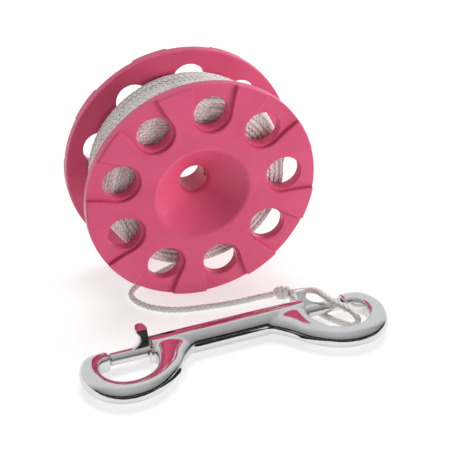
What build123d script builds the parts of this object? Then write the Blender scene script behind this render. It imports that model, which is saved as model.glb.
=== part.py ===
from build123d import *
import os
from math import hypot, pi, radians, tan

# Diver's finger spool: a two-piece moulded reel wound with braided line. The line's free end
# runs over the floor and is tied in a loop around one gate of a double-ended bolt snap.
# Millimetres, +Z up. The origin is the spool's centre and Y is its axis. The spool stands on
# its two rims, and the snap lies flat in front of it, on the -Y side.

# ---- spool ----
FLANGE_R = 40.0
SPOOL_W = 30.4
FACE_Y = SPOOL_W / 2
FLOOR_Z = -FLANGE_R
RIM_T = 4.2
ROOT_T = 6.0
ROOT_R = 13.9
HUB_R = 8.2
HUB_CONE_Y = 4.7
BORE_R = 4.93
BORE_HALF = 5.55
MOUTH_R = 16.3
LIP_FILLET = 2.2
WAIST_FILLET = 2.8
RIM_FILLET = 0.7
JOINT_Y = 1.0
SPIGOT_R = 6.6
SPIGOT_L = 3.0
SPIGOT_GAP = 0.05

# ---- flange holes and the pockets around them ----
HOLE_COUNT = 9
HOLE_R = 5.93
HOLE_PITCH_R = 29.2
HOLE_PHASE = 3.0
HOLE_FILLET = 0.45
POCKET_DEPTH = 1.3
POCKET_R = 6.9
POCKET_RIM_HALF = 8.1
POCKET_OVERRUN = 3.0
POCKET_END_HALF = POCKET_RIM_HALF + 0.5
POCKET_FLARE = 0.3
POCKET_FILLET = 0.35

# ---- line ----
LINE_D = 2.2
LINE_R = LINE_D / 2
LINE_FLOOR_Z = FLOOR_Z + LINE_R
RUN_SHARE = 0.45
WIND_GAP = 0.1
WIND_FRONT_R = 30.6
WIND_MID_R = 33.2
WIND_BACK_R = 32.8

# ---- the line's inner end, anchored through two holes in the hub ----
ANCHOR_Y = -2.2
ANCHOR_LINE_R = 1.05
ANCHOR_RING_R = 6.12
ANCHOR_SWEEP = 55.0
ANCHOR_HOLE_R = 1.25
ANCHOR_SLOT_W = 2.6
ANCHOR_SLOT_FROM = BORE_R - 0.5
ANCHOR_SLOT_R = 7.35

# ---- double-ended bolt snap, in its own axes: X along the bar, -Y towards the hooks' bellies ----
SNAP_X = -1.7
SNAP_Y = -45.4
SNAP_YAW = 4.0
BAR_R = 4.6
BAR_HALF = 27.0
SNAP_Z = FLOOR_Z + BAR_R
HOOK_T = 6.8
HOOK_OUTER_FILLET = 2.4
HOOK_INNER_FILLET = 1.0
NOSE_X = 41.5
NOSE_BACK = (NOSE_X, 3.4)
NOSE_FRONT = (NOSE_X, -2.8)
HOOK_END = (44.6, 4.4)
HOOK_BELLY = (39.7, -22.5)
HOOK_NECK = (20.5, -12.0)
HOOK_ROOT = (8.0, -0.5)
EYE_END = (47.1, -8.1)
EYE_BOTTOM = (39.0, -16.2)
EYE_SIDE = (27.0, -6.5)
BAR_JOIN = [(25.5, -3.0), (25.1, 2.0), (HOOK_ROOT[0], 2.0)]
GATE_BORE_R = 3.0
GATE_BORE_END = 6.0
GATE_BORE_L = BAR_HALF + 1 - GATE_BORE_END
GATE_ROD_R = 2.15
GATE_GUIDE_R = 2.93
GATE_GUIDE_FROM = 20.0
GATE_GUIDE_TO = 26.0
GATE_TIP_GAP = 0.2
GATE_TRAVEL = 9.0
LUG_FROM = 27.2
LUG_TO = 31.1
LUG_NECK = (30.2, 5.0)
LUG_FOOT = (33.4, 1.85)
LUG_W = 3.0
LUG_TIP_R = 9.4
LUG_GAP = 0.25
LUG_FILLET = 0.5
LUG_BREAK_R = 7.2
LUG_SLOPE = 55.0
TIP_CHAMFER = 0.35
LUG_LEAN = {"left": 27.0, "right": 62.0}
SPRING_R = 2.3
SPRING_WIRE_R = 0.28
SPRING_COILS = 9
SPRING_CLEAR = 0.15

# ---- routes of the free line, chosen by hand ----
LEAD_ROUTE = [
    (4.0, -1.0, -35.0),
    (-4.5, -2.0, -35.1),
    (-12.5, -3.2, -37.2),
    (-20.5, -4.6, LINE_FLOOR_Z),
    (-25.6, -10.4, LINE_FLOOR_Z),
    (-22.2, -18.6, LINE_FLOOR_Z),
    (-13.4, -24.0, LINE_FLOOR_Z),
    (-3.0, -25.4, LINE_FLOOR_Z),
    (8.0, -26.2, LINE_FLOOR_Z),
    (15.5, -25.6, LINE_FLOOR_Z),
    (20.9, -26.9, -37.8),
]
KNOT_AT = (24.2, -27.9, -37.4)
KNOT_AXIS_TURN = -20.0
KNOT_RADII = (3.6, 2.6, 2.6)
LOOP_ROUTE = [
    (26.6, -29.8, -36.4),
    (30.6, -33.2, -34.2),
    (32.4, -38.4, -31.2),
    (33.4, -43.4, -30.6),
    (35.9, -47.8, -31.2),
    (39.2, -51.8, -31.5),
    (41.5, -54.2, -34.4),
    (41.0, -53.2, -38.0),
    (38.2, -49.6, LINE_FLOOR_Z),
    (34.9, -45.2, LINE_FLOOR_Z),
    (32.2, -40.2, LINE_FLOOR_Z),
    (30.4, -35.2, LINE_FLOOR_Z),
    (26.5, -30.5, -38.3),
]

TOUCH = 0.002
LENGTHWISE = (Align.CENTER, Align.CENTER, Align.MIN)
OUT = "parts"
os.makedirs(OUT, exist_ok=True)


def save(shape, name):
    shape.label = name
    export_step(shape, os.path.join(OUT, name + ".step"))


# ---------------------------------------------------------------- spool halves
# Each half is made with its outer face towards +Z and then laid over onto the Y axis.

def at(x, y):
    """A filter for the sketch corner at one point."""
    return lambda v: abs(v.X - x) + abs(v.Y - y) < TOUCH


def half_section(joint_points):
    """Section of one half: radius across, distance from the mid-plane up."""
    outline = [
        (BORE_R, BORE_HALF),
        (MOUTH_R, FACE_Y),
        (FLANGE_R, FACE_Y),
        (FLANGE_R, FACE_Y - RIM_T),
        (ROOT_R, FACE_Y - ROOT_T),
        (HUB_R, HUB_CONE_Y),
    ]
    rounding = [
        (BORE_R, BORE_HALF, WAIST_FILLET),
        (MOUTH_R, FACE_Y, LIP_FILLET),
        (FLANGE_R, FACE_Y, RIM_FILLET),
        (FLANGE_R, FACE_Y - RIM_T, RIM_FILLET),
        (ROOT_R, FACE_Y - ROOT_T, LIP_FILLET),
    ]
    section = make_face(Polyline(*outline, *joint_points, close=True))
    for x, y, radius in rounding:
        section = fillet(section.vertices().filter_by(at(x, y)), radius)
    return section


def pocket_cutter():
    """U-shaped pocket around the hole on +X, open at the rim and flaring a little towards it."""
    end_x = FLANGE_R + POCKET_OVERRUN
    upper = (HOLE_PITCH_R, POCKET_R)
    lower = (HOLE_PITCH_R, -POCKET_R)
    inner = ThreePointArc(lower, (HOLE_PITCH_R - POCKET_R, 0), upper)
    top = Spline(upper, (end_x, POCKET_END_HALF), tangents=((1, 0), (1, POCKET_FLARE)))
    end = Line((end_x, POCKET_END_HALF), (end_x, -POCKET_END_HALF))
    bottom = Spline((end_x, -POCKET_END_HALF), lower, tangents=((-1, POCKET_FLARE), (-1, 0)))
    return extrude(make_face([inner, top, end, bottom]), 2 * POCKET_DEPTH)


def on_face_inside_rim(edge):
    """Whether an edge is a pocket's step on the outer face: level with it and short of the rim."""
    box = edge.bounding_box()
    middle = edge @ 0.5
    level = abs(box.min.Z - FACE_Y) < TOUCH and abs(box.max.Z - FACE_Y) < TOUCH
    return level and MOUTH_R + LIP_FILLET < hypot(middle.X, middle.Y) < FLANGE_R - RIM_FILLET - TOUCH


def spool_half(joint_points, phase):
    """One moulded half: flange, funnel and its share of the hub."""
    half = revolve(Plane.XZ * half_section(joint_points), Axis.Z)
    pocket_floor = FACE_Y - POCKET_DEPTH
    turns = [Rot(0, 0, phase + index * 360 / HOLE_COUNT) for index in range(HOLE_COUNT)]
    pocket = Pos(0, 0, pocket_floor) * pocket_cutter()
    for turn in turns:
        half = half - turn * pocket
    half = fillet(half.edges().filter_by(on_face_inside_rim), POCKET_FILLET)
    drill = Pos(HOLE_PITCH_R, 0, 0) * Cylinder(HOLE_R, 3 * FACE_Y)
    for turn in turns:
        half = half - turn * drill
    circles = half.edges().filter_by(GeomType.CIRCLE)
    holes = circles.filter_by(lambda e: abs(e.radius - HOLE_R) < TOUCH)
    rims = holes.filter_by(lambda e: abs(e.arc_center.Z - pocket_floor) < TOUCH)
    return fillet(rims, HOLE_FILLET)


def hub_sector(radius_from, radius_to, width, sweep):
    """Sector of a ring in the hub wall, centred on the anchor's plane and starting on +X."""
    side = Pos((radius_from + radius_to) / 2, ANCHOR_Y) * Rectangle(radius_to - radius_from, width)
    return revolve(side, Axis.Y, revolution_arc=-sweep)


def spool_front_half():
    joint = [
        (HUB_R, -JOINT_Y),
        (SPIGOT_R, -JOINT_Y),
        (SPIGOT_R, -JOINT_Y - SPIGOT_L),
        (BORE_R, -JOINT_Y - SPIGOT_L),
    ]
    half = Rot(90, 0, 0) * spool_half(joint, HOLE_PHASE)
    half = half - hub_sector(ANCHOR_SLOT_FROM, ANCHOR_SLOT_R, ANCHOR_SLOT_W, ANCHOR_SWEEP)
    hole = Pos(0, ANCHOR_Y, 0) * Rot(0, 90, 0) * Cylinder(ANCHOR_HOLE_R, HUB_R + 1, align=LENGTHWISE)
    for angle in (0.0, ANCHOR_SWEEP):
        half = half - Rot(0, -angle, 0) * hole
    return half


def spool_back_half():
    depth = JOINT_Y + SPIGOT_L + 2 * SPIGOT_GAP
    joint = [
        (HUB_R, JOINT_Y),
        (SPIGOT_R + SPIGOT_GAP, JOINT_Y),
        (SPIGOT_R + SPIGOT_GAP, depth),
        (BORE_R, depth),
    ]
    return Rot(-90, 0, 0) * spool_half(joint, -HOLE_PHASE)


# ---------------------------------------------------------------- winding and its anchor

def flange_inner_y(radius):
    """Distance from the mid-plane to the flange's slightly conical inner face."""
    share = (FLANGE_R - radius) / (FLANGE_R - ROOT_R)
    return FACE_Y - RIM_T - share * (ROOT_T - RIM_T)


def line_winding():
    """The packed line between the flanges, crowned and a little fuller at the back."""
    inner_r = HUB_R + WIND_GAP
    root_r = ROOT_R + 1.2
    front = (WIND_FRONT_R, WIND_GAP - flange_inner_y(WIND_FRONT_R))
    back = (WIND_BACK_R, flange_inner_y(WIND_BACK_R) - WIND_GAP)
    walls = Polyline(
        back,
        (root_r, flange_inner_y(root_r) - WIND_GAP),
        (inner_r, HUB_CONE_Y - WIND_GAP * 2),
        (inner_r, WIND_GAP * 2 - HUB_CONE_Y),
        (root_r, WIND_GAP - flange_inner_y(root_r)),
        front)
    crown = ThreePointArc(front, (WIND_MID_R, 0), back)
    return revolve(make_face([walls, crown]), Axis.Y)


def line_anchor():
    """The inner end of the line: in through one hub hole, along a recess, out through the other."""
    section = Pos(ANCHOR_RING_R, ANCHOR_Y) * Circle(ANCHOR_LINE_R)
    ring = revolve(section, Axis.Y, revolution_arc=-ANCHOR_SWEEP)
    stub_length = HUB_R - ANCHOR_RING_R
    stub = Rot(0, 90, 0) * Cylinder(ANCHOR_LINE_R, stub_length, align=LENGTHWISE)
    corner = Pos(ANCHOR_RING_R, ANCHOR_Y, 0) * (stub + Sphere(ANCHOR_LINE_R))
    return ring + corner + Rot(0, -ANCHOR_SWEEP, 0) * corner


# ---------------------------------------------------------------- free line

def bend_radii(points):
    """The largest arc that each corner's two runs allow: it takes up to RUN_SHARE of each run."""
    radii = []
    for before, corner, after in zip(points, points[1:], points[2:]):
        run_in = Vector(*corner) - Vector(*before)
        run_out = Vector(*after) - Vector(*corner)
        half_turn = radians(run_in.get_angle(run_out)) / 2
        radii.append(RUN_SHARE * min(run_in.length, run_out.length) / tan(half_turn))
    return radii


def tube(points, radius, radii):
    """A round tube along straight runs joined by tangent arcs, and the length of its path."""
    path = FilletPolyline(*points, radius=radii)
    section = Plane(origin=path @ 0, z_dir=path % 0) * Circle(radius)
    return sweep(section, path=path), path.length


def free_line(name, points):
    radii = bend_radii(points)
    solid, length = tube(points, LINE_R, radii)
    print(name, "length", round(length, 1), "radii", [round(radius, 1) for radius in radii])
    print(name, "volume", round(solid.volume, 1), "of", round(length * pi * LINE_R ** 2, 1))
    save(solid, name)


def line_knot():
    """The knot that closes the loop, as one egg-shaped solid."""
    along, across, up = KNOT_RADII
    egg = scale(Sphere(1), by=(along, across, up))
    return Pos(*KNOT_AT) * Rot(0, 0, KNOT_AXIS_TURN) * egg


# ---------------------------------------------------------------- bolt snap
# One end is made on +X. The other end is its mirror image.

def lay_snap(shape):
    """Put a shape made in the snap's own axes on the floor in front of the spool."""
    return Pos(SNAP_X, SNAP_Y, SNAP_Z) * Rot(0, 0, SNAP_YAW) * shape


def to_end(shape, side):
    return shape if side == "right" else mirror(shape, Plane.YZ)


def hook():
    """One hook: a flat plate of the hook's outline, with its edges well rounded."""
    belly = TangentArc(HOOK_BELLY, HOOK_NECK, tangent=(-1, 0))
    neck = TangentArc(HOOK_NECK, HOOK_ROOT, tangent=belly % 1)
    end = TangentArc(HOOK_BELLY, HOOK_END, tangent=(1, 0))
    tip = Line(HOOK_END, NOSE_BACK)
    nose = Line(NOSE_BACK, NOSE_FRONT)
    eye_end = TangentArc(EYE_BOTTOM, EYE_END, tangent=(1, 0))
    eye_tip = TangentArc(EYE_END, NOSE_FRONT, tangent=eye_end % 1)
    eye_side = TangentArc(EYE_BOTTOM, EYE_SIDE, tangent=(-1, 0))
    root = Polyline(EYE_SIDE, *BAR_JOIN, HOOK_ROOT)
    outer = [belly, neck, end, tip]
    inner = [eye_end, eye_tip, eye_side]
    outline = make_face(outer + inner + [nose, root])
    plate = extrude(Pos(0, 0, -HOOK_T / 2) * outline, HOOK_T)
    plate = fillet(face_edges(plate, outer), HOOK_OUTER_FILLET)
    return fillet(face_edges(plate, inner), HOOK_INNER_FILLET)


def face_edges(plate, curves):
    """The edges of a plate's two flat faces that lie along the given outline curves."""
    def follows(edge):
        middle = edge @ 0.5
        flat = Vector(middle.X, middle.Y, 0)
        near = any((flat - curve @ 0.5).length < 0.3 for curve in curves)
        return near and abs(abs(middle.Z) - HOOK_T / 2) < 0.01
    return plate.edges().filter_by(follows)


def lug_slot(side):
    """The slot in the bar's wall that the thumb lug runs in when the gate is drawn back."""
    start = LUG_FROM - GATE_TRAVEL - LUG_GAP
    width = LUG_W + 2 * LUG_GAP
    block = Pos((start + BAR_HALF + 1) / 2, 0, BAR_R) * Box(BAR_HALF + 1 - start, width, 2 * BAR_R)
    return Rot(-LUG_LEAN[side], 0, 0) * block


def snap_body():
    body = Rot(0, 90, 0) * Cylinder(BAR_R, 2 * BAR_HALF)
    for side in ("left", "right"):
        body = body + to_end(hook(), side)
    for side in ("left", "right"):
        bore = Rot(0, 90, 0) * Cylinder(GATE_BORE_R, GATE_BORE_L, align=LENGTHWISE)
        bore = Pos(GATE_BORE_END, 0, 0) * bore
        body = body - to_end(bore, side) - to_end(lug_slot(side), side)
    return lay_snap(body)


def gate_bolt(side):
    """Sprung bolt that closes the hook: a rod with a guide in the bore and a thumb lug."""
    tip = NOSE_X - GATE_TIP_GAP
    rod = Rot(0, 90, 0) * Cylinder(GATE_ROD_R, tip - GATE_GUIDE_TO, align=LENGTHWISE)
    rod = Pos(GATE_GUIDE_TO, 0, 0) * chamfer(rod.edges().group_by(Axis.X)[-1], TIP_CHAMFER)
    guide = Rot(0, 90, 0) * Cylinder(GATE_GUIDE_R, GATE_GUIDE_TO - GATE_GUIDE_FROM, align=LENGTHWISE)
    bolt = rod + Pos(GATE_GUIDE_FROM, 0, 0) * guide + Rot(-LUG_LEAN[side], 0, 0) * thumb_lug()
    return lay_snap(to_end(bolt, side))


def thumb_lug():
    """Upright tab on the bolt, in the XZ plane: round sloping tip, narrow neck and flared foot."""
    half_w = (LUG_TO - LUG_FROM) / 2
    shoulder_z = LUG_TIP_R - half_w
    back = Polyline((LUG_FOOT[0], 0), (LUG_FROM, 0), (LUG_FROM, shoulder_z))
    tip = ThreePointArc((LUG_FROM, shoulder_z), (LUG_FROM + half_w, LUG_TIP_R), (LUG_TO, shoulder_z))
    front = Spline((LUG_TO, shoulder_z), LUG_NECK, LUG_FOOT, tangents=((0, -1), (1, -0.3)))
    foot = Line(LUG_FOOT, (LUG_FOOT[0], 0))
    tab = extrude(Plane.XZ * make_face([back, tip, front, foot]), LUG_W / 2, both=True)
    upper = tab.edges().filter_by(lambda e: e.center().Z > GATE_ROD_R)
    sides = upper.filter_by(lambda e: abs(abs(e.center().Y) - LUG_W / 2) < TOUCH)
    tab = fillet(sides, LUG_FILLET)
    beyond = Pos(0, -FLANGE_R / 2, 0) * Box(2 * FLANGE_R, FLANGE_R, FLANGE_R)
    return tab - Pos(0, -LUG_W / 2, LUG_BREAK_R) * Rot(-LUG_SLOPE, 0, 0) * beyond


def gate_spring(side):
    """Compression spring between the bore's end and the bolt's guide."""
    clear = SPRING_WIRE_R + SPRING_CLEAR
    start = GATE_BORE_END + clear
    length = GATE_GUIDE_FROM - clear - start
    coil = Helix(pitch=length / SPRING_COILS, height=length, radius=SPRING_R)
    section = Plane(origin=coil @ 0, z_dir=coil % 0) * Circle(SPRING_WIRE_R)
    wire = sweep(section, path=coil, is_frenet=True)
    return lay_snap(to_end(Pos(start, 0, 0) * Rot(0, 90, 0) * wire, side))


if __name__ == "__main__":
    save(spool_front_half(), "spool_front_half")
    save(spool_back_half(), "spool_back_half")
    save(line_winding(), "line_winding")
    save(line_anchor(), "line_anchor")
    free_line("line_lead", LEAD_ROUTE)
    save(line_knot(), "line_knot")
    free_line("line_loop", LOOP_ROUTE)
    save(snap_body(), "snap_body")
    for side in ("left", "right"):
        save(gate_bolt(side), "gate_bolt_" + side)
        save(gate_spring(side), "gate_spring_" + side)
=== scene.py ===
from itertools import product
from math import cos, pi, radians, sin

import bmesh
import bpy
import numpy as np
from mathutils import Matrix, Vector


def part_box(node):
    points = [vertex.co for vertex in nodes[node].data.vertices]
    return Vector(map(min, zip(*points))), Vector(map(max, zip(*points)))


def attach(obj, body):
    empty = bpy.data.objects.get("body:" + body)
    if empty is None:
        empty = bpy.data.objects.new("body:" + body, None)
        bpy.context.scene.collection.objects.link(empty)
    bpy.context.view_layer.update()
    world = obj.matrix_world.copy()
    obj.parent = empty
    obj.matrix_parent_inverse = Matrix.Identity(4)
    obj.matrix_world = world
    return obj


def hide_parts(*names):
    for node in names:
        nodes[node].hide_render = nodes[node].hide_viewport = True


# A finger spool of braided line with its double-ended bolt snap, dressed on the CAD frame.
# The origin is the spool's centre, +Y its axis, and the floor lies under the front flange. What is
# multiplied by MM is in metres; routes, stations and the winding's radii are kept in millimetres.

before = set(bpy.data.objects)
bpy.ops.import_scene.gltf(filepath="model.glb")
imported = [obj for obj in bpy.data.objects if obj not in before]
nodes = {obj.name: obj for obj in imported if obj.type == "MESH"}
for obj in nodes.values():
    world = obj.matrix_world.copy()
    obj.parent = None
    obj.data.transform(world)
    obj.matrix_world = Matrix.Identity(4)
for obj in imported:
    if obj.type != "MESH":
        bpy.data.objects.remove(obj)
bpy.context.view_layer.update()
MM = 0.001
rng = np.random.default_rng(7)

FLOOR_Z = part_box("spool_front_half")[0].z

# ---------------------------------------------------------------- camera

CAMERA_AT = Vector((-0.1576, -0.5016, 0.3118))
CAMERA_LOOKS = Vector((0.2718, 0.7995, -0.5357))
LENS_MM = 144.0
SENSOR_MM = 36.0

camera = bpy.data.objects.new("camera", bpy.data.cameras.new("camera"))
camera.data.lens = LENS_MM
camera.data.sensor_width = SENSOR_MM
camera.location = CAMERA_AT
camera.rotation_euler = CAMERA_LOOKS.to_track_quat("-Z", "Y").to_euler()
bpy.context.collection.objects.link(camera)
bpy.context.scene.camera = camera

# ---------------------------------------------------------------- free line: route and braid

LINE_D_MM = 2.2
LINE_D = LINE_D_MM * MM
LINE_R = LINE_D / 2
LINE_FLOOR = FLOOR_Z / MM + LINE_D_MM / 2
ROUTE_DETAIL = 24
CORD_STEP = 0.22 * MM
CORD_SIDES = 8

# Points, the same as in the CAD: the line lies on the floor where z is LINE_FLOOR.
LEAD_ROUTE = [
    (4.0, -1.0, -35.0),
    (-4.5, -2.0, -35.1),
    (-12.5, -3.2, -37.2),
    (-20.5, -4.6, LINE_FLOOR),
    (-25.6, -10.4, LINE_FLOOR),
    (-22.2, -18.6, LINE_FLOOR),
    (-13.4, -24.0, LINE_FLOOR),
    (-3.0, -25.4, LINE_FLOOR),
    (8.0, -26.2, LINE_FLOOR),
    (15.5, -25.6, LINE_FLOOR),
    (20.9, -26.9, -37.8),
]
LOOP_ROUTE = [
    (26.6, -29.8, -36.4),
    (30.6, -33.2, -34.2),
    (32.4, -38.4, -31.2),
    (33.4, -43.4, -30.6),
    (35.9, -47.8, -31.2),
    (39.2, -51.8, -31.5),
    (41.5, -54.2, -34.4),
    (41.0, -53.2, -38.0),
    (38.2, -49.6, LINE_FLOOR),
    (34.9, -45.2, LINE_FLOOR),
    (32.2, -40.2, LINE_FLOOR),
    (30.4, -35.2, LINE_FLOOR),
    (26.5, -30.5, -38.3),
]


def route_points(name, route_mm):
    """Points along the smooth NURBS line of a given route, in metres."""
    curve = bpy.data.curves.new(name, "CURVE")
    curve.dimensions = "3D"
    spline = curve.splines.new("NURBS")
    spline.points.add(len(route_mm) - 1)
    for point, (x, y, z) in zip(spline.points, route_mm):
        point.co = (x * MM, y * MM, z * MM, 1.0)
    spline.order_u = 3
    spline.use_endpoint_u = True
    spline.resolution_u = ROUTE_DETAIL
    holder = bpy.data.objects.new(name, curve)
    bpy.context.collection.objects.link(holder)
    bpy.context.view_layer.update()
    line = bpy.data.meshes.new_from_object(holder)
    points = np.array([v.co for v in line.vertices])
    bpy.data.objects.remove(holder)
    bpy.data.meshes.remove(line)
    return points


def resample(points, step):
    """Evenly spaced points along a polyline."""
    legs = np.linalg.norm(np.diff(points, axis=0), axis=1)
    reach = np.concatenate([[0.0], np.cumsum(legs)])
    count = max(int(round(reach[-1] / step)), 4) + 1
    wanted = np.linspace(0.0, reach[-1], count)
    return np.stack([np.interp(wanted, reach, points[:, k]) for k in range(3)], axis=1)


def unit(rows):
    return rows / np.linalg.norm(rows, axis=1, keepdims=True)


NEARLY_UPRIGHT = 0.1


def carried_frames(points):
    """Two normals carried along the line without twisting about it."""
    tangents = unit(np.gradient(points, axis=0))
    start = np.cross(tangents[0], (0.0, 0.0, 1.0))
    if np.linalg.norm(start) < NEARLY_UPRIGHT:
        start = np.cross(tangents[0], (0.0, 1.0, 0.0))
    normals = np.empty_like(points)
    normals[0] = start / np.linalg.norm(start)
    for i in range(1, len(points)):
        across = normals[i - 1] - tangents[i] * np.dot(normals[i - 1], tangents[i])
        normals[i] = across / np.linalg.norm(across)
    return normals, np.cross(tangents, normals)


def tube_faces(count, sides):
    """The faces of a closed tube of count rings: its wall, then a cap at each end."""
    rings = np.arange(count - 1)[:, None] * sides
    a = rings + np.arange(sides)[None, :]
    b = rings + (np.arange(sides)[None, :] + 1) % sides
    faces = np.stack([a, b, b + sides, a + sides], axis=2).reshape(-1, 4).tolist()
    faces.append(list(range(sides))[::-1])
    faces.append([(count - 1) * sides + k for k in range(sides)])
    return faces


def swept_tube(points, side, up, half_w, half_h, sides):
    """Vertices and faces of a closed tube of elliptical section along points."""
    turn = np.arange(sides) * 2 * pi / sides
    ring = np.cos(turn)[None, :, None] * side[:, None, :] * half_w
    ring = ring + np.sin(turn)[None, :, None] * up[:, None, :] * half_h
    return (points[:, None, :] + ring).reshape(-1, 3), tube_faces(len(points), sides)


# Relief given to parts built without it, such as the covered turns; the line's material paints them
# partly in shade by it.
PLAIN_RELIEF = 0.8


def make_mesh(name, parts, smooth=True):
    """One object from several (vertices, faces) parts, or (vertices, faces, relief) ones."""
    verts, faces, relief, offset = [], [], [], 0
    for part_verts, part_faces, *part_relief in parts:
        verts.append(part_verts)
        relief.append(part_relief[0] if part_relief else np.full(len(part_verts), PLAIN_RELIEF))
        faces += [[index + offset for index in face] for face in part_faces]
        offset += len(part_verts)
    mesh = bpy.data.meshes.new(name)
    mesh.from_pydata(np.concatenate(verts).tolist(), [], faces)
    mesh.update()
    if any(len(part) == 3 for part in parts):
        layer = mesh.attributes.new("relief", "FLOAT", "POINT")
        layer.data.foreach_set("value", np.concatenate(relief))
    if smooth:
        mesh.polygons.foreach_set("use_smooth", np.ones(len(mesh.polygons), bool))
    piece = bpy.data.objects.new(name, mesh)
    bpy.context.collection.objects.link(piece)
    return piece


# A strand's half thickness and width, and how far it weaves in and out, are shares of the line's radius.
STRANDS_EACH_WAY = 4
BRAID_PITCH = 7.4 * MM
STRAND_THICK = 0.21
STRAND_WIDE = 0.40
WEAVE = 0.10


def relief_of(verts, points, radius):
    """How far out each vertex lies on the braid, 1 at its surface; the line's material paints shade into
    the hollows by it.
    """
    rings = verts.reshape(len(points), -1, 3)
    return (np.linalg.norm(rings - points[:, None], axis=2) / radius).ravel()


def braid_parts(points, radius, sides, core_sides=8, phase=0.0):
    """The strands of an eight-strand braid along evenly spaced points, and its core."""
    normal, binormal = carried_frames(points)
    along = np.arange(len(points)) * np.linalg.norm(points[1] - points[0])
    turn = 2 * pi / BRAID_PITCH * along
    middle = radius * (1 - STRAND_THICK - WEAVE)
    parts = []
    for way in (1, -1):
        lift = way * WEAVE * radius * np.cos(STRANDS_EACH_WAY * turn)
        for index in range(STRANDS_EACH_WAY):
            angle = way * turn + index * 2 * pi / STRANDS_EACH_WAY + phase * way
            out = np.cos(angle)[:, None] * normal + np.sin(angle)[:, None] * binormal
            centre = points + out * (middle + lift)[:, None]
            across = unit(np.cross(unit(np.gradient(centre, axis=0)), out))
            half_w, half_h = radius * STRAND_WIDE, radius * STRAND_THICK
            strand = swept_tube(centre, across, out, half_w, half_h, sides)
            parts.append((*strand, relief_of(strand[0], points, radius)))
    core = swept_tube(points, normal, binormal, middle, middle, core_sides)
    parts.append((*core, relief_of(core[0], points, radius)))
    return parts


lead_line = resample(route_points("lead_route", LEAD_ROUTE), CORD_STEP)
loop_line = resample(route_points("loop_route", LOOP_ROUTE), CORD_STEP)
line_lead = make_mesh("line_lead_braid", braid_parts(lead_line, LINE_R, CORD_SIDES))
line_loop = make_mesh("line_loop_braid", braid_parts(loop_line, LINE_R, CORD_SIDES, phase=0.6))

# ---------------------------------------------------------------- the loop's knot

KNOT_AT = np.array((24.2, -27.9, -37.4)) * MM
KNOT_TURN = radians(-28.0)
KNOT_RISE = 0.12
KNOT_WAY = np.array((cos(KNOT_TURN), sin(KNOT_TURN), KNOT_RISE))
KNOT_WRAPS = 3.0
KNOT_LENGTH = 5.2 * MM
KNOT_COIL_R = 1.5 * MM
KNOT_END_SHARE = 0.55
KNOT_SWAY = 0.35 * MM
KNOT_LINE_R = 1.05 * MM
KNOT_POINTS = 160
KNOT_STEP = 0.2 * MM


def knot_line():
    """Three close wraps about the knot's own axis, with both ends tucked in."""
    axis = KNOT_WAY / np.linalg.norm(KNOT_WAY)
    side = np.cross(axis, (0.0, 0.0, 1.0))
    side = side / np.linalg.norm(side)
    up = np.cross(side, axis)
    share = np.linspace(0.0, 1.0, KNOT_POINTS)
    angle = share * KNOT_WRAPS * 2 * pi
    swell = np.sin(pi * np.clip(share * 1.06 - 0.03, 0, 1)) ** 0.5
    radius = KNOT_COIL_R * (KNOT_END_SHARE + (1 - KNOT_END_SHARE) * swell)
    travel = (share - 0.5) * KNOT_LENGTH + KNOT_SWAY * np.sin(angle * 0.5)
    return (KNOT_AT + travel[:, None] * axis + (radius * np.cos(angle))[:, None] * side
            + (radius * np.sin(angle))[:, None] * up)


wraps = resample(knot_line(), KNOT_STEP)
knot = make_mesh("line_knot_wraps", braid_parts(wraps, KNOT_LINE_R, CORD_SIDES))

# ---------------------------------------------------------------- winding

# In millimetres, with the radii taken about the spool's axis.
HUB_R = 8.2
WOUND_R = 1.06
FIRST_LAYER_R = HUB_R + WOUND_R + 0.1
WIND_LAYERS = 13
TURN_SPACING = 2.05
TOP_LAYER_BELOW = 1.35

# The crown: the outline of the full winding between the flanges.
CROWN_HALF = 10.3
CROWN_FRONT_R = 30.6
CROWN_BACK_R = 32.8
CROWN_BULGE = 1.5

# The flanges' inner faces: how far from the mid-plane they are at three radii.
FLANGE_RADII = (HUB_R, 13.9, 40.0)
FLANGE_GAPS = (4.7, 9.2, 11.0)
FLANGE_CLEAR = 0.15

# Unevenness of a layer and of a turn at the wall: size, waves per radian, shift from layer to layer.
LAYER_WANDER = ((0.22, 1.37, 1.0), (0.16, 0.61, 2.1))
WALL_WAVER = ((0.14, 2, 1), (0.08, 5, 2))

CROSSING_TURNS = 4
CROSSING_MIDDLE = 5.0
CROSSING_SWING = (1.6, 5.0)
CROSSING_SUNK = 0.12
CROSSING_SCATTER = 0.25

FIRST_WALL_LAYER = 6
WALL_CROWN_Y = 9.0
WALL_SCATTER = 0.04
WALL_INSET = 0.35

LEAVE_FROM_Y = -6.0
LEAVE_FROM_ANGLE = radians(60)
LEAVE_BOW = 1.2

HIDDEN_TURN_POINTS = 20
SHOWN_TURN_POINTS = 120
SINGLE_TURN_POINTS = 241
LEAVING_POINTS = 121
PACKED_IN = np.array((0.985, 0.8, 0.985))
UNDER_STEP = 0.8 * MM
WOUND_STEP = 0.7 * MM


def crown_radius(y):
    """Outer radius of the winding, fuller at the back than at the front."""
    share = np.clip((y + CROWN_HALF) / (2 * CROWN_HALF), 0.0, 1.0)
    straight = CROWN_FRONT_R + (CROWN_BACK_R - CROWN_FRONT_R) * share
    return straight + CROWN_BULGE * 4 * share * (1 - share)


def half_width(radius):
    """How far a turn's middle may lie from the mid-plane between the flanges at a radius."""
    return np.interp(radius, FLANGE_RADII, FLANGE_GAPS) - WOUND_R - FLANGE_CLEAR


def layer_radius(layer, top):
    """Radius of a layer when the outermost one lies at top."""
    return FIRST_LAYER_R + (top - FIRST_LAYER_R) * layer / (WIND_LAYERS - 1)


def ripple(waves, angle, layer):
    return sum(size * np.sin(angle * rate + shift * layer) for size, rate, shift in waves)


def on_drum(angle, y, radius):
    return np.stack([radius * np.cos(angle), y, radius * np.sin(angle)], axis=1) * MM


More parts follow.
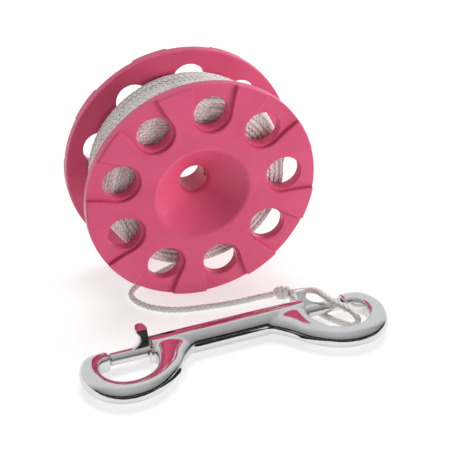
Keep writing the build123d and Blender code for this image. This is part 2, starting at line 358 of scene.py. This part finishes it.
def wound_layer(layer, points_per_turn):
    """One layer of turns laid side by side, from one flange to the other."""
    reach = half_width(layer_radius(layer, crown_radius(0.0) - TOP_LAYER_BELOW))
    turns = max(int(reach * 2 / TURN_SPACING), 2)
    share = np.linspace(0.0, 1.0, turns * points_per_turn + 1)
    angle = layer * 0.7 - share * turns * 2 * pi
    sweep = (2 * share - 1) * reach * (1 if layer % 2 else -1)
    y = np.clip(sweep + ripple(LAYER_WANDER, angle, layer), -reach, reach)
    return on_drum(angle, y, layer_radius(layer, crown_radius(y) - TOP_LAYER_BELOW))


def crossing_turn(index):
    """One of the last, loosely laid turns, which cross over those below."""
    angle = index * 0.9 - np.linspace(0.0, 2 * pi, SINGLE_TURN_POINTS)
    middle = rng.uniform(-CROSSING_MIDDLE, CROSSING_MIDDLE)
    reach = half_width(crown_radius(0.0))
    swing = min(rng.uniform(*CROSSING_SWING), reach - abs(middle))
    y = middle + swing * np.sin(angle + rng.uniform(0, 2 * pi))
    sunk = WOUND_R + CROSSING_SUNK + rng.uniform(0.0, CROSSING_SCATTER)
    return on_drum(angle, y, crown_radius(y) - sunk)


def wall_turn(layer, side):
    """The turn of an inner layer that lies against a flange and shows through its holes."""
    top = crown_radius(side * WALL_CROWN_Y) - WOUND_R
    radius = layer_radius(layer + rng.uniform(-WALL_SCATTER, WALL_SCATTER), top)
    angle = rng.uniform(0, 2 * pi) - np.linspace(0.0, 2 * pi, SINGLE_TURN_POINTS)
    waver = ripple(WALL_WAVER, angle, layer)
    y = side * (half_width(radius) - WALL_INSET + waver * 0.6)
    return on_drum(angle, y, radius + 0.5 * waver)


def leaving_turn():
    """The last stretch of line on the spool, which comes round below to meet the free line."""
    exit_x, exit_y, exit_z = LEAD_ROUTE[0]
    share = np.linspace(0.0, 1.0, LEAVING_POINTS)
    angle = (1 - share) * LEAVE_FROM_ANGLE + share * np.arctan2(exit_z, exit_x)
    y = LEAVE_FROM_Y + (exit_y - LEAVE_FROM_Y) * share + LEAVE_BOW * np.sin(share * pi)
    start_r = crown_radius(LEAVE_FROM_Y) - WOUND_R
    radius = start_r + (np.hypot(exit_x, exit_z) - start_r) * share ** 2
    return on_drum(angle, y, radius)


def plain_turns(points, sides):
    """A smooth tube, for turns that are covered or only glimpsed."""
    normal, binormal = carried_frames(points)
    return swept_tube(points, normal, binormal, WOUND_R * MM, WOUND_R * MM, sides)


def winding():
    """Covered layers as smooth tubes; the top layer, the last turns and those at the walls braided."""
    covered = [wound_layer(layer, HIDDEN_TURN_POINTS) * PACKED_IN for layer in range(WIND_LAYERS - 2)]
    parts = [plain_turns(points, 6) for points in covered]
    under = resample(wound_layer(WIND_LAYERS - 2, SHOWN_TURN_POINTS), UNDER_STEP)
    parts.append(plain_turns(under, 8))
    shown = [wound_layer(WIND_LAYERS - 1, SHOWN_TURN_POINTS), leaving_turn()]
    shown += [crossing_turn(index) for index in range(CROSSING_TURNS)]
    for layer in range(FIRST_WALL_LAYER, WIND_LAYERS):
        shown += [wall_turn(layer, side) for side in (-1, 1)]
    for index, turn in enumerate(shown):
        line = resample(turn, WOUND_STEP)
        parts += braid_parts(line, WOUND_R * MM, sides=4, core_sides=5, phase=index * 0.8)
    return make_mesh("line_winding_turns", parts)


line_wound = winding()

# ---------------------------------------------------------------- snap body

# In the snap's own millimetres: X along the bar, Y towards the spool, Z up.
BAR_R = 4.6
SNAP_X = -1.7
SNAP_Y = -45.4
SNAP_TURN = radians(4.0)
SNAP_MOVE = Matrix.Translation((SNAP_X * MM, SNAP_Y * MM, FLOOR_Z + BAR_R * MM))
SNAP_PLACE = SNAP_MOVE @ Matrix.Rotation(SNAP_TURN, 4, "Z")
BAR_HALF = 28.5
BAR_END = 27.0
END_FACE_FROM = -3.4
END_FACE_DEEP = 4.0
PAST_BAR = 6.0
BORE_R = 3.0
BORE_BOTTOM = 6.0
BORE_TO = 30.0
MOUTH_INSIDE = 0.35
MOUTH_OUTSIDE = 0.6
MOUTH_FLARE = 0.75
LUG_SLOT_FROM = 17.95
LUG_SLOT_TO = 29.0
LUG_SLOT_HIGH = 9.0
LUG_SLOT_W = 3.5
LUG_LEAN = {-1: radians(27.0), 1: radians(62.0)}
VOXEL = 0.34 * MM
CAST_SMOOTHING = 26
SHARP_FROM = radians(38)

# Stations round the hook: a point on the eye's wall, one on the outer edge, and the half height.
HOOK_STATIONS = [
    ((26.0, 1.0), (8.0, -0.5), 4.3),
    ((26.9, -3.2), (12.5, -3.9), 4.0),
    ((27.3, -7.0), (18.0, -8.9), 3.7),
    ((28.7, -10.9), (22.3, -14.4), 3.5),
    ((31.2, -13.8), (27.6, -18.9), 3.4),
    ((35.0, -15.7), (33.4, -21.7), 3.4),
    ((39.0, -16.2), (39.7, -22.5), 3.4),
    ((43.0, -15.1), (45.8, -21.1), 3.4),
    ((46.0, -12.1), (51.0, -16.6), 3.4),
    ((47.1, -8.3), (53.6, -9.0), 3.4),
    ((46.4, -5.2), (52.5, -2.6), 3.3),
    ((44.4, -3.3), (48.8, 2.3), 3.1),
    ((41.5, -2.7), (41.5, 3.6), 2.9),
]
STATION_POINTS = 8

# The hook's D-shaped section: where across it is highest, and how square its two sides are.
CROWN_AT = 0.27
WALL_SQUARENESS = 3.4
EDGE_SQUARENESS = 2.25
SECTION_POINTS = 40


def smooth_through(points, per_leg):
    """A Catmull-Rom curve through the points."""
    before = 2 * points[0] - points[1]
    after = 2 * points[-1] - points[-2]
    line = np.concatenate([[before], points, [after]])
    share = np.linspace(0, 1, per_leg, endpoint=False)[:, None]
    legs = []
    for p0, p1, p2, p3 in zip(line, line[1:], line[2:], line[3:]):
        bend = 2 * p0 - 5 * p1 + 4 * p2 - p3
        legs.append(0.5 * (2 * p1 + (p2 - p0) * share + bend * share ** 2
                           + (3 * p1 - p0 - 3 * p2 + p3) * share ** 3))
    return np.concatenate(legs + [[points[-1]]])


def hook_section():
    """Points round the section: shares of the way from wall to edge, and of the half height."""
    turn = np.arange(SECTION_POINTS) * 2 * pi / SECTION_POINTS
    c, s = np.cos(turn), np.sin(turn)
    power = 2 / WALL_SQUARENESS
    outer = CROWN_AT + (1 - CROWN_AT) * np.abs(c) ** (2 / EDGE_SQUARENESS)
    wall = CROWN_AT * (1 - np.abs(c) ** power)
    across = np.where(c >= 0, outer, wall)
    up = np.sign(s) * np.abs(s) ** np.where(c >= 0, 2 / EDGE_SQUARENESS, power)
    return across, up


def hook_skin(side):
    """One hook on the end of the bar, side 1 or -1, as (vertices, faces)."""
    stations = np.array([(*wall, *outer, half) for wall, outer, half in HOOK_STATIONS])
    rows = smooth_through(stations, STATION_POINTS)
    across, up = hook_section()
    flat = rows[:, None, 0:2] * (1 - across)[None, :, None] + rows[:, None, 2:4] * across[None, :, None]
    height = rows[:, 4:5] * up[None, :]
    verts = np.concatenate([flat, height[:, :, None]], axis=2)
    verts[:, :, 0] *= side
    return verts.reshape(-1, 3) * MM, tube_faces(*verts.shape[:2])


def round_bar(start, end, start_r, end_r=None, sides=96):
    """A cylinder or cone along the snap's X axis, in millimetres, as (vertices, faces)."""
    angle = np.arange(sides) * 2 * pi / sides
    rings = []
    for x, radius in ((start, start_r), (end, start_r if end_r is None else end_r)):
        ring = [np.full(sides, x), radius * np.cos(angle), radius * np.sin(angle)]
        rings.append(np.stack(ring, axis=1))
    return np.concatenate(rings) * MM, tube_faces(2, sides)


def block(low, high, lean=0.0):
    """A box between two corners in millimetres, leaning about the snap's X axis."""
    x, y, z = np.array(list(product(*zip(low, high)))).T
    c, s = cos(lean), sin(lean)
    corners = np.stack([x, y * c + z * s, z * c - y * s], axis=1)
    faces = [[0, 1, 3, 2], [4, 6, 7, 5], [0, 4, 5, 1], [2, 3, 7, 6], [0, 2, 6, 4], [1, 5, 7, 3]]
    return corners * MM, faces


def settle(piece):
    """Applies the piece's modifiers to its mesh."""
    done = bpy.data.meshes.new_from_object(piece.evaluated_get(bpy.context.evaluated_depsgraph_get()))
    old = piece.data
    piece.modifiers.clear()
    piece.data = done
    bpy.data.meshes.remove(old)


def recalculated(piece):
    """The piece with every face turned outwards."""
    work = bmesh.new()
    work.from_mesh(piece.data)
    bmesh.ops.recalc_face_normals(work, faces=work.faces)
    work.to_mesh(piece.data)
    work.free()
    return piece


def cut(piece, part):
    """Takes one closed part away from the piece."""
    cutter = recalculated(make_mesh("cutter", [part], smooth=False))
    difference = piece.modifiers.new("cut", "BOOLEAN")
    difference.operation = "DIFFERENCE"
    difference.solver = "EXACT"
    difference.object = cutter
    settle(piece)
    bpy.data.objects.remove(cutter)


def snap_body():
    """Bar and hooks run together as one casting, then the gates' bores and lug slots cut into it."""
    solids = [round_bar(-BAR_HALF, BAR_HALF, BAR_R), hook_skin(1), hook_skin(-1)]
    body = recalculated(make_mesh("snap_body_cast", solids))
    remesh = body.modifiers.new("remesh", "REMESH")
    remesh.mode = "VOXEL"
    remesh.voxel_size = VOXEL
    smooth = body.modifiers.new("smooth", "SMOOTH")
    smooth.factor = 0.5
    smooth.iterations = CAST_SMOOTHING
    settle(body)
    half = LUG_SLOT_W / 2
    for side in (-1, 1):
        face_to = side * (BAR_END + END_FACE_DEEP)
        mouth_from, mouth_to = side * (BAR_END - MOUTH_INSIDE), side * (BAR_END + MOUTH_OUTSIDE)
        slot_from, slot_to = side * LUG_SLOT_FROM, side * LUG_SLOT_TO
        cut(body, block((side * BAR_END, END_FACE_FROM, -PAST_BAR), (face_to, PAST_BAR, PAST_BAR)))
        cut(body, round_bar(side * BORE_BOTTOM, side * BORE_TO, BORE_R))
        cut(body, round_bar(mouth_from, mouth_to, BORE_R, BORE_R + MOUTH_FLARE))
        cut(body, block((slot_from, -half, 0), (slot_to, half, LUG_SLOT_HIGH), LUG_LEAN[side]))
    body.data.polygons.foreach_set("use_smooth", np.ones(len(body.data.polygons), bool))
    body.data.set_sharp_from_angle(angle=SHARP_FROM)
    body.data.transform(SNAP_PLACE)
    return body


snap = snap_body()

# ---------------------------------------------------------------- materials

PINK_DEEP = (0.68, 0.080, 0.180)
PINK_LIGHT = (0.74, 0.098, 0.206)
CHROME_DEEP = (0.67, 0.67, 0.68)
CHROME_LIGHT = (0.73, 0.73, 0.73)
STEEL_DEEP = (0.42, 0.42, 0.43)
STEEL_LIGHT = (0.6, 0.6, 0.6)
LINE_WHITE = (0.94, 0.95, 0.91)
LINE_SHADE = (0.87, 0.88, 0.83)
# Painted shade: the darker colour given to the hollows between the braid's strands.
LINE_HOLLOW_PAINTED_SHADE = (0.70, 0.71, 0.66)
PAPER_DEEP = (0.66, 0.66, 0.66)
PAPER_LIGHT = (0.69, 0.69, 0.69)
FLOOR_GLOW = 0.55
CARD_BLACK = (0.015, 0.015, 0.015)

# The span of a noise's values that is stretched over a low and a high, and the relief's span that
# goes from the shade painted into the hollows to the strands' own colour.
NOISE_FROM, NOISE_TO = 0.3, 0.7
HOLLOW_RELIEF, STRAND_RELIEF = 0.62, 0.93


def new_material(name):
    material = bpy.data.materials.new(name)
    material.use_nodes = True
    tree = material.node_tree
    return material, tree, tree.nodes["Principled BSDF"]


def noise_value(tree, scale, detail=3.0, low=0.0, high=1.0, stretch=None):
    """A noise over the piece, remapped from low to high."""
    where = tree.nodes.new("ShaderNodeTexCoord").outputs["Object"]
    if stretch:
        mapping = tree.nodes.new("ShaderNodeMapping")
        mapping.inputs["Scale"].default_value = stretch
        tree.links.new(where, mapping.inputs["Vector"])
        where = mapping.outputs["Vector"]
    noise = tree.nodes.new("ShaderNodeTexNoise")
    noise.inputs["Scale"].default_value = scale
    noise.inputs["Detail"].default_value = detail
    tree.links.new(where, noise.inputs["Vector"])
    remap = tree.nodes.new("ShaderNodeMapRange")
    remap.clamp = False
    remap.inputs["From Min"].default_value = NOISE_FROM
    remap.inputs["From Max"].default_value = NOISE_TO
    remap.inputs["To Min"].default_value = low
    remap.inputs["To Max"].default_value = high
    tree.links.new(noise.outputs["Fac"], remap.inputs["Value"])
    return remap.outputs["Result"]


def colour_between(tree, factor, first, second):
    """A mix of two colours: the first where the factor is 0, the second where it is 1."""
    mix = tree.nodes.new("ShaderNodeMix")
    mix.data_type = "RGBA"
    mix.inputs["A"].default_value = (*first, 1)
    mix.inputs["B"].default_value = (*second, 1)
    tree.links.new(factor, mix.inputs["Factor"])
    return mix.outputs["Result"]


def add_bump(tree, shader, height, strength, distance, before=None):
    """A bump on the shader, over the one before it if there is one."""
    bump = tree.nodes.new("ShaderNodeBump")
    bump.inputs["Strength"].default_value = strength
    bump.inputs["Distance"].default_value = distance
    tree.links.new(height, bump.inputs["Height"])
    if before:
        tree.links.new(before, bump.inputs["Normal"])
    tree.links.new(bump.outputs["Normal"], shader.inputs["Normal"])
    return bump.outputs["Normal"]


def pink_plastic():
    """Moulded plastic with slow flow ripples and a fine, matt grain."""
    material, tree, shader = new_material("pink_plastic")
    tone = noise_value(tree, scale=70.0)
    tree.links.new(colour_between(tree, tone, PINK_DEEP, PINK_LIGHT), shader.inputs["Base Color"])
    gloss = noise_value(tree, scale=260.0, detail=4.0, low=0.27, high=0.42)
    tree.links.new(gloss, shader.inputs["Roughness"])
    shader.inputs["Specular IOR Level"].default_value = 0.45
    ripples = noise_value(tree, scale=120.0, detail=2.0)
    grain = noise_value(tree, scale=3200.0, detail=2.0)
    flow = add_bump(tree, shader, ripples, strength=0.12, distance=0.15 * MM)
    add_bump(tree, shader, grain, strength=0.1, distance=0.03 * MM, before=flow)
    return material


def chrome_plate():
    """Plated casting, polished, with scuffs drawn out along the bar."""
    material, tree, shader = new_material("chrome_plate")
    tone = noise_value(tree, scale=90.0)
    tree.links.new(colour_between(tree, tone, CHROME_DEEP, CHROME_LIGHT), shader.inputs["Base Color"])
    shader.inputs["Metallic"].default_value = 1.0
    scuffs = noise_value(tree, scale=900.0, detail=6.0, low=0.035, high=0.12, stretch=(0.25, 1.0, 1.0))
    tree.links.new(scuffs, shader.inputs["Roughness"])
    casting = noise_value(tree, scale=160.0, detail=2.0)
    add_bump(tree, shader, casting, strength=0.06, distance=0.1 * MM)
    return material


def spring_steel():
    """Drawn wire, bare and darker than the plating."""
    material, tree, shader = new_material("spring_steel")
    tone = noise_value(tree, scale=700.0)
    tree.links.new(colour_between(tree, tone, STEEL_DEEP, STEEL_LIGHT), shader.inputs["Base Color"])
    shader.inputs["Metallic"].default_value = 1.0
    polish = noise_value(tree, scale=2500.0, detail=4.0, low=0.22, high=0.4)
    tree.links.new(polish, shader.inputs["Roughness"])
    add_bump(tree, shader, noise_value(tree, scale=5000.0), strength=0.15, distance=0.02 * MM)
    return material


def braided_line(name, with_painted_shade):
    """Off-white filament, with shade painted into the hollows between the strands where the piece has
    them.
    """
    material, tree, shader = new_material(name)
    tone = noise_value(tree, scale=420.0, detail=5.0)
    colour = colour_between(tree, tone, LINE_SHADE, LINE_WHITE)
    if with_painted_shade:
        # Painted shade: the colour darkens towards the hollows between the strands, by each vertex's
        # relief.
        depth = tree.nodes.new("ShaderNodeAttribute")
        depth.attribute_name = "relief"
        raised = tree.nodes.new("ShaderNodeMapRange")
        raised.inputs["From Min"].default_value = HOLLOW_RELIEF
        raised.inputs["From Max"].default_value = STRAND_RELIEF
        tree.links.new(depth.outputs["Fac"], raised.inputs["Value"])
        shaded = tree.nodes.new("ShaderNodeMix")
        shaded.data_type = "RGBA"
        shaded.inputs["A"].default_value = (*LINE_HOLLOW_PAINTED_SHADE, 1)
        tree.links.new(raised.outputs["Result"], shaded.inputs["Factor"])
        tree.links.new(colour, shaded.inputs["B"])
        colour = shaded.outputs["Result"]
    tree.links.new(colour, shader.inputs["Base Color"])
    matt = noise_value(tree, scale=1500.0, low=0.5, high=0.72)
    tree.links.new(matt, shader.inputs["Roughness"])
    shader.inputs["Sheen Weight"].default_value = 0.2
    shader.inputs["Sheen Roughness"].default_value = 0.4
    fibres = noise_value(tree, scale=4200.0, detail=4.0)
    add_bump(tree, shader, fibres, strength=0.45, distance=0.05 * MM)
    return material


def paper_floor():
    """White paper, lit from below as well, so that only contact shadows stay."""
    material, tree, shader = new_material("paper_floor")
    tone = noise_value(tree, scale=3.0)
    tree.links.new(colour_between(tree, tone, PAPER_DEEP, PAPER_LIGHT), shader.inputs["Base Color"])
    shader.inputs["Roughness"].default_value = 0.9
    shader.inputs["Specular IOR Level"].default_value = 0.1
    shader.inputs["Emission Color"].default_value = (1, 1, 1, 1)
    shader.inputs["Emission Strength"].default_value = FLOOR_GLOW
    return material


def dress(piece, material):
    """Gives every slot of the piece the one material."""
    if not piece.material_slots:
        piece.data.materials.append(material)
    for slot in piece.material_slots:
        slot.material = material


plastic = pink_plastic()
chrome = chrome_plate()
steel = spring_steel()
braid = braided_line("braided_line", True)
for name in ("spool_front_half", "spool_back_half"):
    dress(nodes[name], plastic)
for name in ("gate_bolt_left", "gate_bolt_right"):
    dress(nodes[name], chrome)
for name in ("gate_spring_left", "gate_spring_right"):
    dress(nodes[name], steel)
dress(snap, chrome)
for piece in (line_wound, line_lead, line_loop, knot):
    dress(piece, braid)
dress(nodes["line_anchor"], braided_line("anchored_line", False))

# ---------------------------------------------------------------- which body each piece rides with; the CAD node it replaces is hidden

for piece, body, node, slot_name in (
    (line_wound, "spool", "line_winding", "line"),
    (line_lead, "snap", "line_lead", "line"),
    (line_loop, "snap", "line_loop", "line"),
    (knot, "snap", "line_knot", "line"),
    (snap, "snap", "snap_body", "chrome"),
):
    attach(piece, body)
    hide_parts(node)

# ---------------------------------------------------------------- floor, light and world

FLOOR_HALF = 4.0
CARD_ABOVE_FLOOR = 0.4 * MM
BLACK_CARDS = (
    ("black_card", (-0.3, -0.5), (0.3, -0.079)),
    ("black_card_inner", (-0.0205, -0.0785), (0.0165, -0.057)),
)

# How much of the world's light falls on things, against what is seen mirrored in them.
AMBIENT = 0.6

# The world in front of the spool: its level below the first height, then from height to height.
SKY_LOW = (0.015, 0.015, 0.013, 1)
SKY_LEVELS = ((0.27, 0.02), (0.37, 0.30), (0.6, 0.38), (1.0, 0.60))
SKY_WARMTH = 0.99
BACKDROP = (0.84, 0.85, 0.86, 1)
BACKDROP_FROM, BACKDROP_TO = -0.05, 0.45


def flat_sheet(name, low, high, z, material):
    corners = [(low[0], low[1], z), (high[0], low[1], z), (high[0], high[1], z), (low[0], high[1], z)]
    mesh = bpy.data.meshes.new(name)
    mesh.from_pydata(corners, [], [[0, 1, 2, 3]])
    sheet = bpy.data.objects.new(name, mesh)
    bpy.context.collection.objects.link(sheet)
    dress(sheet, material)
    return sheet


def black_cards():
    """Low in front of the snap and seen only in reflections: they draw the dark line along the chrome."""
    material, tree, shader = new_material("black_card")
    matt = noise_value(tree, scale=5.0, detail=2.0, low=0.8, high=0.95)
    tree.links.new(matt, shader.inputs["Roughness"])
    shader.inputs["Base Color"].default_value = (*CARD_BLACK, 1)
    for name, low, high in BLACK_CARDS:
        card = flat_sheet(name, low, high, FLOOR_Z + CARD_ABOVE_FLOOR, material)
        card.visible_camera = False
        card.visible_diffuse = False
        card.visible_shadow = False
        card.visible_transmission = False


flat_sheet("floor", (-FLOOR_HALF, -FLOOR_HALF), (FLOOR_HALF, FLOOR_HALF), FLOOR_Z, paper_floor())
black_cards()


def area_light(name, place, towards, width, height, watts):
    """A soft light that isn't itself seen mirrored in the chrome."""
    data = bpy.data.lights.new(name, "AREA")
    data.shape = "RECTANGLE"
    data.size = width
    data.size_y = height
    data.energy = watts
    light = bpy.data.objects.new(name, data)
    light.location = place
    light.rotation_euler = (Vector(towards) - Vector(place)).to_track_quat("-Z", "Y").to_euler()
    light.visible_glossy = False
    bpy.context.collection.objects.link(light)


area_light("overhead", (0.1, 0.25, 1.1), (0, 0, 0), width=0.7, height=0.5, watts=5.0)
area_light("right_front", (0.85, -0.6, 0.12), (0, 0, -0.01), width=0.6, height=0.2, watts=7.5)
area_light("left_front", (-0.9, -0.5, 0.7), (0, 0, 0), width=0.4, height=0.3, watts=0.6)


def studio_world():
    """Dark low down towards the front, grey above and bright behind; the camera sees plain white."""
    world = bpy.data.worlds.new("studio")
    world.use_nodes = True
    tree = world.node_tree
    new, link = tree.nodes.new, tree.links.new
    split = new("ShaderNodeSeparateXYZ")
    link(new("ShaderNodeTexCoord").outputs["Generated"], split.inputs["Vector"])
    ramp = new("ShaderNodeValToRGB")
    ramp.color_ramp.elements.remove(ramp.color_ramp.elements[1])
    ramp.color_ramp.elements[0].color = SKY_LOW
    for position, level in SKY_LEVELS:
        ramp.color_ramp.elements.new(position).color = (level, level, level * SKY_WARMTH, 1)
    link(split.outputs["Z"], ramp.inputs["Fac"])
    behind = new("ShaderNodeMapRange")
    behind.interpolation_type = "SMOOTHSTEP"
    behind.inputs["From Min"].default_value = BACKDROP_FROM
    behind.inputs["From Max"].default_value = BACKDROP_TO
    link(split.outputs["Y"], behind.inputs["Value"])
    backdrop = new("ShaderNodeMix")
    backdrop.data_type = "RGBA"
    backdrop.inputs["B"].default_value = BACKDROP
    link(behind.outputs["Result"], backdrop.inputs["Factor"])
    link(ramp.outputs["Color"], backdrop.inputs["A"])
    seen = new("ShaderNodeMix")
    seen.data_type = "RGBA"
    seen.inputs["B"].default_value = (1, 1, 1, 1)
    path = new("ShaderNodeLightPath")
    link(path.outputs["Is Camera Ray"], seen.inputs["Factor"])
    link(backdrop.outputs["Result"], seen.inputs["A"])
    link(seen.outputs["Result"], tree.nodes["Background"].inputs["Color"])
    ambient = new("ShaderNodeMapRange")
    ambient.inputs["To Min"].default_value = 1.0
    ambient.inputs["To Max"].default_value = AMBIENT
    link(path.outputs["Is Diffuse Ray"], ambient.inputs["Value"])
    link(ambient.outputs["Result"], tree.nodes["Background"].inputs["Strength"])
    bpy.context.scene.world = world


studio_world()
bpy.context.scene.view_settings.view_transform = "Standard"
